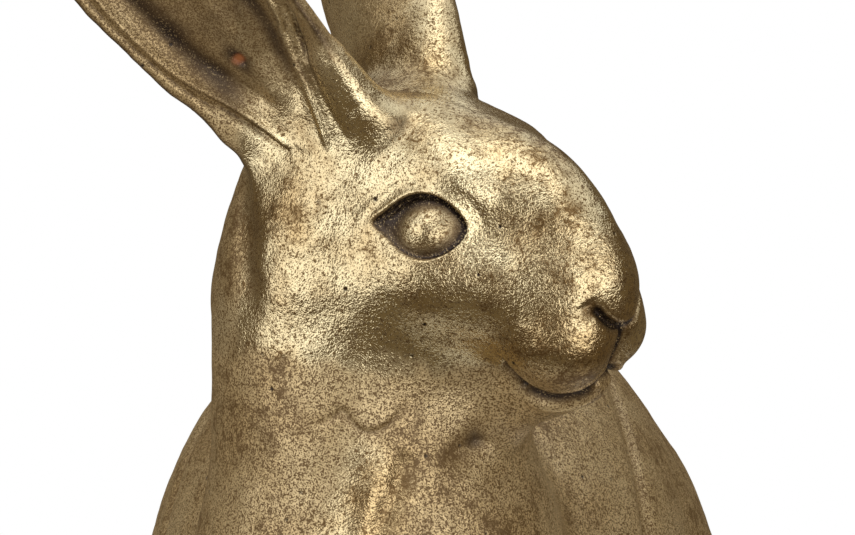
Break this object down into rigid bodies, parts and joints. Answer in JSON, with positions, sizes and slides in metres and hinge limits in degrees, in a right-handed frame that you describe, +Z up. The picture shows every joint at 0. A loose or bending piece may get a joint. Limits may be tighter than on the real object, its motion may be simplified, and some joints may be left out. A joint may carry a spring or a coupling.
{
  "type": "sitting rabbit figurine",
  "caption": "Sitting rabbit figurine with tall upright ears and turned head, in hollow resin castings under antiqued brass leaf, standing on pads.",
  "frame": {"origin": "middle of the figurine's box, on the surface that its felt pads stand on", "axes": "+Z up, chest towards -Y, tail towards +Y, the rabbit's left towards +X; the nose is turned to the rabbit's left"},
  "size_m": [0.1728, 0.27, 0.3333],
  "materials": {
    "gilt": "cast polyresin covered with antiqued brass leaf, burnished on the high places, brown in the creases and pits",
    "pin_steel": "plain drawn steel",
    "dowel_beech": "turned beech, unfinished",
    "board": "sawn hardboard, unfinished",
    "felt": "dark pressed felt"
  },
  "bodies": {
    "root": {"body_casting": "gilt", "head_casting": "gilt", "left_ear": "gilt", "right_ear": "gilt", "tail": "gilt", "left_ear_pin": "pin_steel", "right_ear_pin": "pin_steel", "neck_dowel": "dowel_beech", "base_board": "board", "front_left_pad": "felt", "front_right_pad": "felt", "rear_left_pad": "felt", "rear_right_pad": "felt"}
  },
  "joints": []
}
